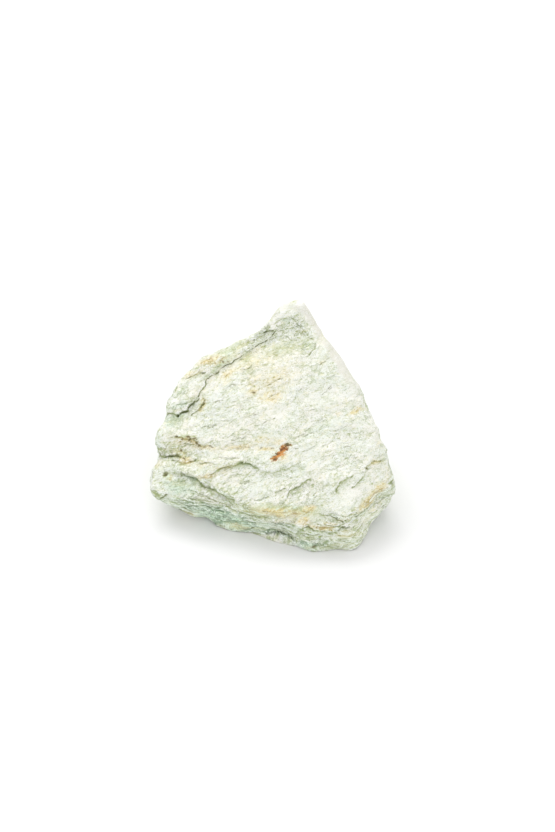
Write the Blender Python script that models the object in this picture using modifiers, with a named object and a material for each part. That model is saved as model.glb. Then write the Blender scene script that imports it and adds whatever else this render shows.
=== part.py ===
"""A raw piece of fuchsite schist: one broken stone, lying on a flat natural break.

+X runs along the stone's width, +Y towards its steep back and +Z up. The origin is under
the middle of the stone, on the surface that it lies on. WIDTH is in metres. Every other
size and place is in sixtieths of it, which are millimetres at this width.

The layers of mica in the stone lie almost level. A broad sloping break cuts up across them
from the front foot to the summit. The layers show as ledges on the steep sides, and as
shallow scales on the broad break. Steps and dents of the front are drawn on the sight
plane, an oblique plane in front of the broad break: a place on it is (across, up).
"""

import math

import bmesh
import bpy
import numpy as np
from mathutils import Vector, noise

NAME = "fuchsite_stone"
WIDTH = 0.060
UNIT = WIDTH / 60.0

# The sight plane's normal faces the front (-Y), and leans this far above the level.
SIGHT_ELEVATION = math.radians(42.0)
SIGHT = np.array([0.0, -math.cos(SIGHT_ELEVATION), math.sin(SIGHT_ELEVATION)])
ACROSS = np.array([1.0, 0.0, 0.0])
UP = np.array([0.0, math.sin(SIGHT_ELEVATION), math.cos(SIGHT_ELEVATION)])

# Corners between the natural breaks, as (x, y, z). The stone is cut off level at z = 0.
SUMMIT = [(2.6, 22.4, 39.6), (5.3, 23.0, 40.7), (8.4, 21.1, 38.8)]
RIGHT_BROW = [(9.8, 16.4, 35.2), (10.8, 13.2, 33.1), (17.5, 6.0, 27.7), (20.8, 1.9, 24.8), (24.8, -4.0, 20.1)]
RIGHT_EDGE = [
    (10.1, 19.3, 33.8),
    (13.5, 16.8, 30.8),
    (15.9, 14.9, 28.8),
    (19.4, 10.2, 25.5),
    (21.7, 6.9, 23.4),
    (22.3, 2.4, 21.8),
    (27.2, -4.2, 18.4),
    (28.6, -8.3, 13.5),
]
RIGHT_CORNER = [(30.2, -10.7, 8.0), (28.0, -10.6, 3.8), (28.4, -12.6, 10.0)]
FRONT_FOOT = [
    (22.6, -11.0, -1.0),
    (20.5, -21.5, -1.0),
    (19.4, -24.8, -1.0),
    (11.0, -25.3, -1.0),
    (4.8, -20.5, -1.0),
    (-10.0, -16.3, -1.0),
    (-13.0, -16.3, 0.0),
    (-21.0, -12.8, 1.0),
    (-24.5, -10.8, 2.8),
]
FRONT_BROW = [
    (-24.1, -8.4, 10.5),
    (-15.6, -13.3, 11.0),
    (-8.1, -18.8, 8.5),
    (0.2, -21.1, 8.5),
    (13.8, -22.6, 8.0),
    (17.7, -23.2, 8.5),
    (23.8, -17.4, 8.5),
]
LEFT_END = [
    (-30.3, -10.4, 6.5),
    (-29.8, -6.2, 10.0),
    (-28.9, -0.6, 14.0),
    (-28.2, 3.1, 15.5),
    (-26.5, 5.9, 18.0),
    (-25.1, 10.3, 21.8),
]
LEFT_RIDGE = [(-22.0, 13.5, 24.2), (-18.2, 15.1, 26.8), (-13.6, 16.0, 28.4)]
BACK = [
    (-25.0, 6.0, 3.0),
    (-20.0, 17.0, 10.0),
    (-8.0, 22.4, 8.0),
    (5.0, 23.6, 12.0),
    (15.0, 20.0, 10.0),
    (24.0, 4.0, 8.0),
]
BASE = [(-23.0, -4.0, -1.0), (-16.0, 12.0, -1.0), (-2.0, 20.0, -1.0), (10.0, 19.0, -1.0), (21.0, 3.0, -1.0)]

# Steps of the front, on the sight plane. A route has the higher side on its left.
SLAB_FOOT = [
    (-27.0, 2.6), (-21.4, 1.3), (-17.8, 0.8), (-15.6, -0.8), (-12.7, -2.8), (-8.1, -6.4), (-4.7, -7.7),
    (0.2, -8.0), (4.4, -7.6), (9.0, -6.8),
]
RIGHT_FOOT = [
    (9.6, -7.0), (13.5, -7.8), (15.5, -8.6), (17.7, -9.4), (19.9, -8.1), (22.1, -6.7), (23.8, -5.5),
    (26.0, -3.5), (28.0, -1.4),
]
MIDDLE_LEDGE = [
    (-17.7, 1.4), (-14.1, 2.6), (-13.1, 3.6), (-9.8, 4.3), (-6.2, 4.8), (-4.3, 4.1), (-2.0, 2.9),
    (0.5, 2.7), (4.1, 3.9), (7.3, 6.0),
]
CENTRE_LEDGE = [(3.2, -3.3), (4.3, -1.5), (7.0, -0.1), (9.7, 1.8), (10.7, 2.7)]
RIGHT_LEDGE = [(15.5, -2.2), (15.8, -0.8), (16.9, 0.5), (18.1, 1.4), (21.1, 3.4)]
EDGE_LEDGE = [
    (18.3, -1.4), (20.0, -0.1), (21.7, 1.1), (22.4, 2.2), (22.5, 3.4), (24.6, 5.3), (25.9, 5.7), (27.7, 6.6),
]
STAINED_SEAM = [(-23.6, 9.7), (-21.2, 10.7), (-18.5, 9.8), (-11.7, 8.6), (-8.0, 9.0), (-0.9, 9.0), (3.0, 9.4)]
FLAKE_EDGE = [
    (-28.0, 18.0), (-23.9, 17.1), (-21.2, 17.8), (-18.4, 20.2), (-16.6, 23.8), (-16.6, 25.3), (-13.2, 27.3),
    (-10.5, 29.2), (-5.6, 32.7), (-2.0, 34.8), (0.5, 37.0), (3.5, 38.0),
]
BAND_FOOT = [(8.9, -10.4), (10.6, -11.7), (12.7, -11.9), (15.8, -11.7), (17.9, -10.8)]
# Each step: route, rise, how far the rise fades out, depth and half width of the cleft
# along its foot.
STEPS = [
    (SLAB_FOOT, 0.8, 3.0, 1.0, 0.9),
    (RIGHT_FOOT, 0.3, 2.5, 1.1, 1.0),
    (MIDDLE_LEDGE, 0.8, 3.0, 0.3, 0.5),
    (CENTRE_LEDGE, 0.6, 2.2, 0.3, 0.5),
    (RIGHT_LEDGE, 0.6, 2.2, 0.3, 0.5),
    (EDGE_LEDGE, 0.6, 2.2, 0.3, 0.5),
    (STAINED_SEAM, 0.2, 2.0, 0.3, 0.6),
    (FLAKE_EDGE, 0.6, 3.0, 0.8, 0.6),
    (BAND_FOOT, 0.5, 1.5, 0.3, 0.4),
]
STEP_SOFTNESS = 0.45
STEP_TAPER = 0.15

# Dents of the front, on the sight plane: centre, half length, half width, turn from the
# level in degrees, depth.
SUMMIT_HOLLOW = ((3.6, 36.6), 7.5, 3.4, 20.0, 1.4)
SEAM_HOLLOW = ((-23.2, 7.6), 5.8, 2.6, -5.0, 1.3)
CORNER_PIT = ((-26.2, 2.6), 1.0, 0.8, 0.0, 1.0)
DENTS = [SUMMIT_HOLLOW, SEAM_HOLLOW, CORNER_PIT]

# Bites out of the edges, as centre (x, y, z), radius and depth. The swellings on the edges
# are bites of negative depth.
SADDLE = ((-4.6, 19.5, 33.8), 5.5, 2.6)
LEFT_NOTCH = ((-28.4, -2.8, 12.2), 1.8, 1.8)
LEFT_SWELLING = ((-28.5, 1.5, 15.0), 2.2, -0.8)
FLAKE_NOTCH = ((-26.2, 5.5, 17.7), 1.6, 0.4)
FLAKE_SWELLING = ((-18.3, 15.5, 27.5), 3.0, -0.8)
FOOT_NOTCH = ((-16.4, -14.0, 0.5), 2.4, 1.6)
FRONT_BITE = ((-4.8, -18.0, 0.0), 3.4, 0.8)
CORNER_BITE = ((13.5, -24.5, 0.0), 3.0, 0.7)
BITES = [
    SADDLE, LEFT_NOTCH, LEFT_SWELLING, FLAKE_NOTCH, FLAKE_SWELLING, FOOT_NOTCH, FRONT_BITE, CORNER_BITE,
]

# The layering rises slightly towards +X, and has a slow waviness.
LAYER_RISE = 0.05
LAYER_WAVE = 1.6
LAYER_WAVE_LENGTH = 20.0
# Rows of ledges on the steep sides, and of scales on the broad break, as (spacing, height).
# The scales' rows climb to the right across the sight plane.
LEDGES = [(4.6, 0.40), (2.2, 0.26)]
SCALES = [(6.4, 0.22), (3.0, 0.12)]
SCALE_CLIMB = math.radians(16.0)
# A side is steep once its normal's rise is below the second value, and not above the first.
STEEP = (0.75, 0.40)
# The share of a ledge's spacing in which its face slopes away, before it climbs to the next.
SLOPE_SHARE = 0.72

# Uneven ground of the breaks, as (wavelength, height).
FRONT_LUMPS = [(14.0, 0.60), (5.0, 0.25)]
BACK_LUMPS = [(16.0, 1.60), (6.0, 0.60)]

# The mesh.
VOXEL = 0.6
SMOOTH_PASSES = 10
MEND_PASSES = 2
TRIANGLES = 9200


def clear_scene():
    for thing in list(bpy.data.objects):
        bpy.data.objects.remove(thing)


def new_collection(name):
    collection = bpy.data.collections.new(name)
    bpy.context.scene.collection.children.link(collection)
    return collection


def block(name, corners, collection):
    """The convex block with these corners."""
    mesh = bpy.data.meshes.new(name)
    shape = bmesh.new()
    for corner in corners:
        shape.verts.new(Vector(corner) * UNIT)
    made = bmesh.ops.convex_hull(shape, input=shape.verts)
    bmesh.ops.delete(shape, geom=made["geom_interior"], context="VERTS")
    bmesh.ops.recalc_face_normals(shape, faces=shape.faces)
    shape.to_mesh(mesh)
    shape.free()
    thing = bpy.data.objects.new(name, mesh)
    collection.objects.link(thing)
    return thing


def apply_modifiers(thing):
    bpy.context.view_layer.update()
    graph = bpy.context.evaluated_depsgraph_get()
    mesh = bpy.data.meshes.new_from_object(thing.evaluated_get(graph))
    thing.modifiers.clear()
    thing.data = mesh


def smooth(stone, passes):
    modifier = stone.modifiers.new("Smooth", "SMOOTH")
    modifier.factor = 0.5
    modifier.iterations = passes
    apply_modifiers(stone)


def round_off(stone):
    """Gives the block an even mesh, and wears its edges round."""
    remesh = stone.modifiers.new("Remesh", "REMESH")
    remesh.mode = "VOXEL"
    remesh.voxel_size = VOXEL * UNIT
    smooth(stone, SMOOTH_PASSES)


def smoothstep(low, high, value):
    share = np.clip((value - low) / (high - low), 0.0, 1.0)
    return share * share * (3.0 - 2.0 * share)


def noise_at(points, wavelength, seed):
    """Smooth noise from -1 to 1 at each point."""
    offset = Vector((seed, -2.0 * seed, 3.0 * seed))
    return np.array([noise.noise(Vector(point) / wavelength + offset) for point in points])


def saw(value):
    """A long fall from 1 to -1 above each whole number, then a short climb back to 1."""
    share = value - np.floor(value)
    fall = 1.0 - 2.0 * share / SLOPE_SHARE
    climb = 2.0 * (share - SLOPE_SHARE) / (1.0 - SLOPE_SHARE) - 1.0
    return np.where(share < SLOPE_SHARE, fall, climb)


def rows_of_ledges(points, height, rows, seed):
    """Low ledges across a height, in broken and wavering rows."""
    relief = np.zeros(len(points))
    for spacing, ledge in rows:
        waver = noise_at(points, 4.0 * spacing, seed)
        waver += 0.5 * noise_at(points, 1.4 * spacing, seed + 3.1)
        patch = smoothstep(-0.30, 0.30, noise_at(points, 2.5 * spacing, seed + 6.2))
        relief += ledge * patch * saw(height / spacing + waver)
        seed += 9.3
    return relief


def layer_relief(points, normals):
    """Ledges on the steep sides, and scales on the broad break."""
    wave = LAYER_WAVE * noise_at(points, LAYER_WAVE_LENGTH, 1.7)
    layer_height = points[:, 2] - LAYER_RISE * points[:, 0] + wave
    scale_height = points @ (UP * math.cos(SCALE_CLIMB) - ACROSS * math.sin(SCALE_CLIMB))
    ledges = rows_of_ledges(points, layer_height, LEDGES, 10.3)
    scales = rows_of_ledges(points, scale_height, SCALES, 50.9)
    steep = 1.0 - smoothstep(STEEP[1], STEEP[0], np.abs(normals[:, 2]))
    return steep * ledges + (1.0 - steep) * scales


def lump_relief(points, lumps, seed):
    return sum(height * noise_at(points, wavelength, seed + wavelength) for wavelength, height in lumps)


def place_by_route(flat, route):
    """The distance of each point from a route, plus on its left, and its share of the way along."""
    route = np.array(route)
    legs = np.diff(route, axis=0)
    lengths = np.linalg.norm(legs, axis=1)
    walked = np.concatenate([[0.0], np.cumsum(lengths)])
    nearest = np.full(len(flat), np.inf)
    signed = np.zeros(len(flat))
    share = np.zeros(len(flat))
    for start, leg, length, before in zip(route, legs, lengths, walked):
        offset = flat - start
        along = np.clip(offset @ leg / length**2, 0.0, 1.0)
        distance = np.linalg.norm(offset - along[:, None] * leg, axis=1)
        side = np.sign(leg[0] * offset[:, 1] - leg[1] * offset[:, 0])
        closer = distance < nearest
        nearest = np.where(closer, distance, nearest)
        signed = np.where(closer, side * distance, signed)
        share = np.where(closer, (before + along * length) / walked[-1], share)
    return signed, share


def step_relief(flat, route, rise, reach, cleft, half_width):
    """A step along a route, with a cleft along its foot. Both taper out at the route's ends."""
    signed, share = place_by_route(flat, route)
    taper = smoothstep(0.0, STEP_TAPER, share) * smoothstep(0.0, STEP_TAPER, 1.0 - share)
    step = 0.5 * rise * np.tanh(signed / STEP_SOFTNESS) * np.exp(-np.abs(signed) / reach)
    gap = cleft * np.exp(-((signed / half_width) ** 2))
    return taper * (step - gap)


def dent_relief(flat, centre, half_length, half_width, turn, depth):
    angle = math.radians(turn)
    offset = flat - np.array(centre)
    along = offset @ np.array([math.cos(angle), math.sin(angle)])
    over = offset @ np.array([-math.sin(angle), math.cos(angle)])
    return -depth * np.exp(-((along / half_length) ** 2) - (over / half_width) ** 2)


def bite_relief(points, centre, radius, depth):
    distance = np.linalg.norm(points - np.array(centre), axis=1)
    return -depth * np.exp(-((distance / radius) ** 2))


def relief_at(points, normals):
    """How far each point moves out along its normal."""
    facing = normals @ SIGHT
    flat = np.column_stack([points @ ACROSS, points @ UP])
    drawn = sum(step_relief(flat, *step) for step in STEPS) + sum(dent_relief(flat, *dent) for dent in DENTS)
    relief = layer_relief(points, normals) + sum(bite_relief(points, *bite) for bite in BITES)
    relief += smoothstep(-0.15, 0.30, facing) * drawn
    relief += smoothstep(0.10, 0.50, facing) * lump_relief(points, FRONT_LUMPS, 30.0)
    back = smoothstep(0.10, 0.60, -facing) * smoothstep(-0.90, -0.60, normals[:, 2])
    relief += back * lump_relief(points, BACK_LUMPS, 40.0)
    return relief


def read_points(mesh, name):
    values = np.empty(3 * len(mesh.vertices))
    mesh.vertices.foreach_get(name, values)
    return values.reshape(-1, 3)


def write_points(mesh, points):
    mesh.vertices.foreach_set("co", points.ravel())
    mesh.update()


def carve(stone):
    """Cuts the steps, ledges, lumps and bites into the stone, and opens out any fold they leave."""
    points = read_points(stone.data, "co") / UNIT
    normals = read_points(stone.data, "normal")
    points += normals * relief_at(points, normals)[:, None]
    write_points(stone.data, points * UNIT)
    smooth(stone, MEND_PASSES)


def thin_out(stone):
    """Fewer triangles where the stone is plain, so that the whole stays light."""
    stone.data.calc_loop_triangles()
    decimate = stone.modifiers.new("Decimate", "DECIMATE")
    decimate.ratio = TRIANGLES / len(stone.data.loop_triangles)
    decimate.use_collapse_triangulate = True
    apply_modifiers(stone)


def cut_base(stone):
    """Cuts the flat break that the stone lies on."""
    shape = bmesh.new()
    shape.from_mesh(stone.data)
    everything = shape.verts[:] + shape.edges[:] + shape.faces[:]
    cut = bmesh.ops.bisect_plane(
        shape, geom=everything, plane_co=(0, 0, 0), plane_no=(0, 0, 1), clear_inner=True
    )
    rim = [part for part in cut["geom_cut"] if isinstance(part, bmesh.types.BMEdge)]
    for edge in rim:
        for corner in edge.verts:
            corner.co.z = 0.0
    bmesh.ops.edgeloop_fill(shape, edges=rim)
    bmesh.ops.triangulate(shape, faces=shape.faces)
    bmesh.ops.recalc_face_normals(shape, faces=shape.faces)
    shape.to_mesh(stone.data)
    shape.free()


def centre_on_origin(stone):
    points = read_points(stone.data, "co")
    middle = (points.min(axis=0) + points.max(axis=0)) / 2
    points[:, :2] -= middle[:2]
    write_points(stone.data, points)


def schist_material():
    material = bpy.data.materials.new("fuchsite schist")
    material.use_nodes = True
    shader = material.node_tree.nodes["Principled BSDF"]
    shader.inputs["Base Color"].default_value = (0.75, 0.79, 0.68, 1.0)
    shader.inputs["Roughness"].default_value = 0.62
    shader.inputs["Metallic"].default_value = 0.0
    return material


def main():
    clear_scene()
    collection = new_collection("raw fuchsite")
    corners = SUMMIT + RIGHT_BROW + RIGHT_EDGE + RIGHT_CORNER + FRONT_FOOT + FRONT_BROW
    corners += LEFT_END + LEFT_RIDGE + BACK + BASE
    stone = block(NAME, corners, collection)
    round_off(stone)
    carve(stone)
    thin_out(stone)
    cut_base(stone)
    centre_on_origin(stone)
    stone.data.materials.append(schist_material())
    stone.data.shade_smooth()


main()
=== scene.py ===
"""The looks of a raw piece of fuchsite schist, on a pale floor in soft light.

The stone's fine mesh starts from the CAD solid. Features of the side that the photograph
shows are drawn in its pixels, across the mesh that the camera sees there; the layers and
flakes that they belong to run all round the stone, by a rule.
"""

import math

import bmesh
import bpy
import numpy as np
from mathutils import Matrix, Vector, noise


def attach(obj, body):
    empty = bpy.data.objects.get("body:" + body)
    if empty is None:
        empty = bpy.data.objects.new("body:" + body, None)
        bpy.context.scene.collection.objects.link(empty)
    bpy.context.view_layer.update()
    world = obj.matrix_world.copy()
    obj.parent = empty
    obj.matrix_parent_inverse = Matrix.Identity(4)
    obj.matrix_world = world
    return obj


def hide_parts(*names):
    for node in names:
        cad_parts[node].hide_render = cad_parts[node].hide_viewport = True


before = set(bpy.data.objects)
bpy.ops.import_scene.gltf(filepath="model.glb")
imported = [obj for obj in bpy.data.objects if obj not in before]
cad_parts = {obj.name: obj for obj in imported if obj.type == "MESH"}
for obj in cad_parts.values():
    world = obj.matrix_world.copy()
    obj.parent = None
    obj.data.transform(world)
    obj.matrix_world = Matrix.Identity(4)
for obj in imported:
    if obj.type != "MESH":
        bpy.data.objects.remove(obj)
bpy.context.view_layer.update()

MM = 0.001

# The photograph and its camera.
PHOTO_WIDTH = 555
PHOTO_HEIGHT = 832
CAMERA_ELEVATION = math.radians(42.0)
CAMERA_DISTANCE = 1.6
PIXEL = 0.2445 * MM  # what a pixel spans at the aim
AIM_ACROSS = 1.06 * MM
AIM_UP = 16.54 * MM
SENSOR = 36.0  # in millimetres
CAMERA_REACH = 20.0
ACROSS = np.array([1.0, 0.0, 0.0])
UP = np.array([0.0, math.sin(CAMERA_ELEVATION), math.cos(CAMERA_ELEVATION)])
SIGHT = np.array([0.0, -math.cos(CAMERA_ELEVATION), math.sin(CAMERA_ELEVATION)])
AIM = AIM_ACROSS * ACROSS + AIM_UP * UP
EYE = AIM + CAMERA_DISTANCE * SIGHT

CLIMB = math.radians(24.0)  # how steeply the layers rise to the right on the broad face
ALONG_LAYERS = math.cos(CLIMB) * ACROSS + math.sin(CLIMB) * UP
OVER_LAYERS = math.cos(CLIMB) * UP - math.sin(CLIMB) * ACROSS
LAYER_AXES = np.array([ALONG_LAYERS, OVER_LAYERS, SIGHT])

# The fine mesh.
VOXEL = 0.368 * MM
SMOOTH_PASSES = 24
DRAWN_MARGIN = 1.6  # the mesh is twice as fine within so many pixels of a drawn route

# Steps on the side that shows, as routes in the photograph's pixels. The higher side is on
# the left of the way along, with the photograph's up as up.
SLAB_FOOT_LEFT = [
    (175, 471.5), (182, 473.5), (188, 477), (196, 480), (203, 484), (211, 489), (218, 492.5), (224, 496),
    (232, 500), (241, 504),
]
FRONT_BROW = [
    (204, 496), (212, 499), (222.8, 503.6), (235.7, 510), (243, 512.5), (250, 515.7), (262, 517),
]
SLAB_FOOT_MIDDLE = [(254, 514.7), (274, 516), (291, 515), (306, 513), (311.5, 508)]
RIGHT_FOOT = [
    (313, 514), (329, 515.6), (336.5, 519), (346, 522.5), (355, 517), (364, 511), (371, 506),
    (379.5, 497.5), (385.5, 493), (394, 496),
]
MIDDLE_LEDGE_LEFT = [(199, 478.5), (208, 478), (213, 475), (217, 471)]
MIDDLE_LEDGE = [
    (214, 473.5), (219, 469), (226, 467), (233, 466.5), (239, 464), (247.6, 464.3), (255.4, 467.4),
    (262, 470),
]
MIDDLE_LEDGE_RIGHT = [
    (257, 470), (265, 472), (275, 473), (282, 471), (290, 468), (296, 464), (302, 460.5),
]
STAIN_LEDGE = [(198, 463), (206, 463.5), (212, 463), (216, 465)]
CENTRE_LEDGE = [(287, 496), (288, 493), (291, 490.6), (296, 488), (302, 484.6), (306, 482), (313, 476.8)]
CENTRE_TAIL = [(281, 506), (284, 502), (286.5, 497.5), (288.5, 492.5)]
CENTRE_SLIVER = [(274, 492), (280, 490.5), (286, 487.5)]
UPPER_SLIVER = [(229, 478), (231, 474.5), (236, 473.5), (244, 473)]
RIGHT_LEDGE = [(336, 495), (337, 493), (338, 487), (342.5, 482), (347.7, 478.5), (354.5, 474)]
EDGE_LEDGE = [
    (348.5, 489.7), (355.4, 484.6), (362.3, 479.4), (365.3, 475), (365.7, 470), (365, 467),
    (367.5, 465.6), (374, 462), (379.5, 460.5), (385.5, 458),
]
SHORT_LEDGE = [(325, 469), (332, 469.5), (336, 468), (341, 464)]
HIGH_DASH = [(266, 386), (272, 383), (278, 379.5), (283, 377)]
LOBE_FOOT = [(315, 522), (320, 524.5), (330, 526.5), (338, 527), (346, 523.5)]
LOBE_TOP = [(318, 517), (326, 521), (334, 526)]
BAND_FOOT = [(300, 526.5), (308, 527), (315, 531), (327, 533), (338, 532), (345, 529), (352, 525)]
FLAKE_TIP = [(162, 413), (168, 412.5), (173, 413.5), (179, 414)]
FLAKE_FOOT = [(174, 413.5), (178.5, 414.2), (182, 412.4), (187, 410.5), (190, 406.5), (195, 403.5)]
FLAKE_RISE = [
    (187, 410), (190, 406.5), (194, 404), (199, 399.5), (200.5, 393.5), (203.5, 388), (205, 383),
    (206, 379),
]
FLAKE_EDGE = [
    (203.5, 388), (205, 383), (206, 379.5), (211, 375.6), (218.8, 371.9), (221, 368), (230, 363.8),
    (237.5, 358), (243.8, 353.8), (250, 349.4), (256, 346.5), (265, 341), (270.6, 338), (275, 332),
    (281, 328), (287.5, 327.5),
]
INNER_CRACK = [(191, 416), (195, 412), (198, 410), (201, 405), (204, 403), (204, 397)]
FLAKE_CRACK = [(184, 379), (190, 377.5), (196, 375), (200, 373), (207, 374)]
FLAKE_FOLD = [(178, 403), (184, 403.5), (190, 400)]
HOLLOW_CRACK = [(262, 333), (268, 331), (275, 330.6)]
HOLLOW_RIM = [(316.5, 342), (314, 348), (308.5, 356)]
SEAM_CRACK = [(156, 454), (162, 456), (170, 455.5), (177, 454), (182, 457.5)]
SEAM_TOP = [(172, 436), (180, 437), (186, 439.5), (193, 440.5), (202, 443.5)]
SEAM_EDGE = [(181, 443), (190, 444.5), (199, 444), (208, 446)]
SEAM_FOOT = [(168, 461), (176, 460), (184, 463), (192, 461), (199, 458)]
NOTCH_CRACK = [(157, 500), (162, 498), (168, 494)]
LOW_LINE_A = [(181, 492), (187, 489.5), (193, 490.5), (202, 495), (211, 500)]
LOW_LINE_B = [
    (160, 500), (172, 500.5), (184, 501), (200, 503), (214, 507), (228, 513), (240, 518), (256, 517),
]
LOW_LINE_C = [(190, 510), (204, 512), (218, 516), (232, 521), (250, 523), (264, 521)]

STAIN_SEAM = [
    (199, 445.5), (206, 446.5), (214, 446), (224, 447), (234, 448), (244, 447.8), (250, 445.8),
    (258, 446), (266, 445.5), (274, 447),
]
RUST_PIT = [(272, 461), (276, 457), (281, 451), (287, 446), (293, 443)]

# Short fine lines on the broad face.
HAIRLINES = [
    [(213, 403.6), (218, 401), (224, 400.5)], [(199, 429), (207, 428), (214, 425)],
    [(214, 421), (223, 420), (233, 420)], [(262, 424), (269, 421.5), (276, 418)],
    [(243, 434), (247, 431), (251.5, 428)], [(230, 441.5), (238, 439.5), (247, 438.5)],
    [(311, 423), (320, 420), (329, 416)], [(300, 436), (309, 435), (319, 430)],
    [(291, 447), (295, 449.5), (299, 449)], [(318, 366), (324, 361), (331, 358)],
    [(296, 392), (303, 388), (310, 387)], [(285, 405), (292, 402), (297, 397)],
    [(332, 432), (340, 429), (350, 424)], [(342, 448), (350, 446), (357, 441)],
    [(240, 372), (247, 368), (252, 363)], [(226, 389), (232, 385), (240, 384)],
    [(216, 457), (226, 457), (242, 459.5)], [(206, 428), (211, 425), (216, 423)],
    [(296, 436), (305, 433), (312, 426)], [(266, 398), (273, 394), (280, 393)],
    [(232, 401), (240, 399), (247, 395)], [(300, 415), (308, 411), (317, 409)],
    [(320, 394), (328, 390), (334, 385)], [(322, 446), (331, 443), (340, 437)],
    [(300, 453), (309, 450), (316, 446)], [(235, 483), (243, 484), (250, 482)],
    [(252, 500), (262, 499), (270, 496)], [(310, 497), (318, 492), (326, 490)],
]

# Short dark lines between the layers of the front.
FRONT_LINES = [
    [(176, 501.5), (190, 505), (202, 507), (213, 509), (222, 511)],
    [(188, 497), (200, 500), (212, 502.5)], [(224, 503), (229, 505), (234, 508.5)],
    [(240, 512), (246, 514), (255, 516.5)], [(198, 511), (207, 512.5), (218, 514.5)],
    [(212, 519), (222, 521), (236, 522.5)], [(236, 526), (244, 530), (255, 531.5)],
    [(257, 517.5), (263, 517), (271, 518.5)], [(258, 527), (268, 530), (280, 531)],
    [(282, 536), (292, 540), (304, 541)], [(300, 536), (312, 538.5), (322, 540)],
    [(206, 524), (214, 528), (226, 531)], [(270, 521.5), (282, 523), (296, 522)],
    [(244, 520.5), (256, 524), (270, 525)],
]
CORNER_LINES = [
    [(343, 533.5), (350, 530), (356, 526), (361.5, 520), (366, 514)],
    [(347, 537), (356, 533), (362, 527), (367, 520)],
    [(334, 541.5), (344, 541), (355, 543), (362, 538.5), (367, 533)],
    [(368.5, 511.5), (374, 506), (380, 501), (386, 497)],
    [(371, 517), (377, 511.5), (383, 506), (389, 501)], [(352, 538), (359, 535), (365, 529), (369, 522)],
    [(318, 536.5), (330, 537), (343, 536.5)], [(374, 500), (380, 494), (387, 489)],
    [(326, 547), (338, 547), (350, 546)], [(296, 533), (306, 535), (314, 538)],
]
HOLLOW_TOP = [
    (270, 326), (277, 321.5), (284, 318), (290, 316.5), (295, 319), (298, 324), (304, 330), (311, 336),
    (315.5, 342),
]
HOLLOW_LINES = [
    [(293, 327), (296, 331), (294, 337)], [(300, 330), (304, 334)], [(282, 334), (290, 339), (298, 340)],
]

# For each route: rise in mm, reach in pixels, depth in mm and half width in pixels of the
# cleft along the foot, how dark the cleft is painted as shade, and how dark the painted shade beside the
# foot is.
STEPS = [
    (SLAB_FOOT_LEFT, 0.8, 5, 0.18, 1.3, 0.55, 0.55),
    (FRONT_BROW, 0.5, 5, 0.16, 1.2, 0.45, 0.3),
    (SLAB_FOOT_MIDDLE, 0.2, 4, 0.12, 0.8, 0.3, 0.2),
    (RIGHT_FOOT, 0.35, 4, 0.22, 0.7, 0.7, 0.3),
    (MIDDLE_LEDGE_LEFT, 0.3, 4, 0.14, 0.8, 0.6, 0.5),
    (MIDDLE_LEDGE, 0.55, 4, 0.18, 1.2, 0.6, 1.4),
    (MIDDLE_LEDGE_RIGHT, 0.25, 4, 0.10, 0.7, 0.4, 0.5),
    (STAIN_LEDGE, 0.25, 3, 0.14, 0.8, 0.7, 0.5),
    (CENTRE_LEDGE, 0.5, 4, 0.18, 1.1, 0.6, 0.75),
    (CENTRE_TAIL, 0.25, 3, 0.12, 0.7, 0.4, 0.2),
    (CENTRE_SLIVER, 0.3, 4, 0.12, 0.8, 0.5, 0.6),
    (UPPER_SLIVER, 0.3, 4, 0.12, 0.8, 0.45, 0.35),
    (RIGHT_LEDGE, 0.4, 4, 0.12, 1.2, 0.5, 0.9),
    (EDGE_LEDGE, 0.35, 4, 0.14, 0.8, 0.6, 0.6),
    (SHORT_LEDGE, 0.15, 3, 0.12, 0.7, 0.35, 0.2),
    (HIGH_DASH, 0.12, 3, 0.12, 0.6, 0.6, 0.1),
    (LOBE_FOOT, 0.3, 4, 0.16, 0.8, 0.5, 0.35),
    (LOBE_TOP, 0.2, 4, 0.12, 0.7, 0.5, 0.2),
    (BAND_FOOT, 0.4, 4, 0.18, 1.1, 0.7, 0.5),
    (FLAKE_TIP, 0.3, 4, 0.3, 0.8, 0.45, 0.6),
    (FLAKE_FOOT, 0.5, 5, 0.8, 1.0, 1.0, 0.6),
    (FLAKE_RISE, 0.25, 4, 0.4, 0.6, 1.0, 0.3),
    (FLAKE_EDGE, 0.15, 3, 0.18, 0.5, 1.0, 0.1),
    (INNER_CRACK, 0.25, 4, 0.3, 0.7, 1.0, 0.8),
    (FLAKE_CRACK, 0.15, 3, 0.15, 0.7, 0.7, 0.1),
    (FLAKE_FOLD, 0.2, 4, 0.16, 1.4, 0.5, 0.4),
    (HOLLOW_CRACK, 0.2, 4, 0.24, 1.2, 0.9, 0.4),
    (HOLLOW_RIM, 0.2, 3, 0.16, 0.7, 0.8, 0.5),
    (HOLLOW_TOP, 0.35, 5, 0.10, 0.8, 0.3, 0.4),
    (SEAM_CRACK, 0.4, 4, 0.4, 1.2, 0.9, 0.7),
    (SEAM_TOP, 0.3, 4, 0.2, 0.8, 0.6, 0.6),
    (SEAM_EDGE, 0.25, 4, 0.16, 0.8, 0.7, 0.6),
    (SEAM_FOOT, 0.3, 4, 0.2, 0.9, 0.8, 0.8),
    (NOTCH_CRACK, 0.2, 3, 0.24, 0.8, 0.7, 0.3),
    (LOW_LINE_A, 0.3, 4, 0.18, 0.8, 0.5, 0.2),
    (LOW_LINE_B, 0.35, 4, 0.18, 0.9, 0.5, 0.25),
    (LOW_LINE_C, 0.3, 4, 0.18, 0.8, 0.5, 0.4),
    (STAIN_SEAM, 0.08, 3, 0.06, 0.6, 0.1, 0.1),
    (RUST_PIT, 0.0, 3, 0.35, 2.4, 0.0, 0.0),
]
HAIRLINE = (0.12, 3, 0.10, 0.6, 0.6, 0.15)
FRONT_LINE = (0.22, 3, 0.2, 0.8, 0.65, 0.15)
LAMINATION = (0.18, 2, 0.14, 0.7, 0.5, 0.1)
STEPS += [(route, *HAIRLINE) for route in HAIRLINES]
STEPS += [(route, *FRONT_LINE) for route in FRONT_LINES]
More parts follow.
